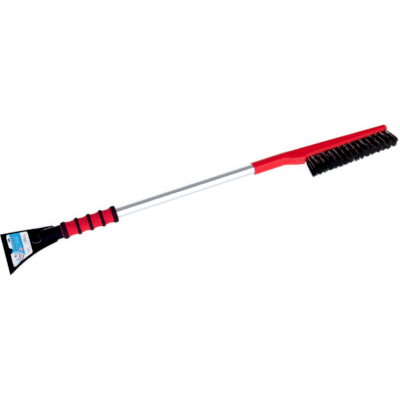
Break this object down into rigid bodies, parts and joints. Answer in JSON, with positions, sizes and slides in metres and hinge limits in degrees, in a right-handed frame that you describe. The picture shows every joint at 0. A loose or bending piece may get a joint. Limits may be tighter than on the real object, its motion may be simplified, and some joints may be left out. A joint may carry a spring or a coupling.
{
  "type": "windshield ice scraper",
  "caption": "Long-handled snow brush and ice scraper: flared curved blade, ringed foam grip, bare metal tube and a tapering brush head with fanned bristle tufts.",
  "frame": {"origin": "on the shaft's axis, midway along the bare stretch of tube", "axes": "+X along the shaft from the blade towards the brush, -Y the way the bristles point, +Z out of the labelled face of the blade"},
  "size_m": [0.9003, 0.1095, 0.0383],
  "materials": {
    "black_plastic": "moulded, fine satin texture",
    "label": "printed film label with a satin coat",
    "aluminium": "drawn and clear anodised, satin",
    "steel": "zinc plated",
    "black_foam": "closed-cell foam, matt",
    "red_foam": "closed-cell foam, matt",
    "red_plastic": "moulded, semi-gloss",
    "plug_plastic": "moulded, matt",
    "bristle": "extruded filaments, satin"
  },
  "bodies": {
    "root": {"scraper_head": "black_plastic", "scraper_label": "label", "scraper_screw": "steel", "scraper_tube_plug": "plug_plastic", "shaft_tube": "aluminium", "grip_lip_scraper_end": "red_foam", "grip_lip_brush_end": "red_foam", "grip_ring_1": "black_foam", "grip_ring_2": "black_foam", "grip_ring_3": "black_foam", "grip_ring_4": "black_foam", "grip_ring_5": "black_foam", "grip_segment_1": "red_foam", "grip_segment_2": "red_foam", "grip_segment_3": "red_foam", "grip_segment_4": "red_foam", "brush_head": "red_plastic", "brush_screw": "steel", "brush_tube_plug": "plug_plastic", "bristle_row_1": "bristle", "bristle_row_2": "bristle", "bristle_row_3": "bristle", "bristle_row_4": "bristle", "tuft_anchors_row_1": "steel", "tuft_anchors_row_2": "steel", "tuft_anchors_row_3": "steel", "tuft_anchors_row_4": "steel"}
  },
  "joints": []
}
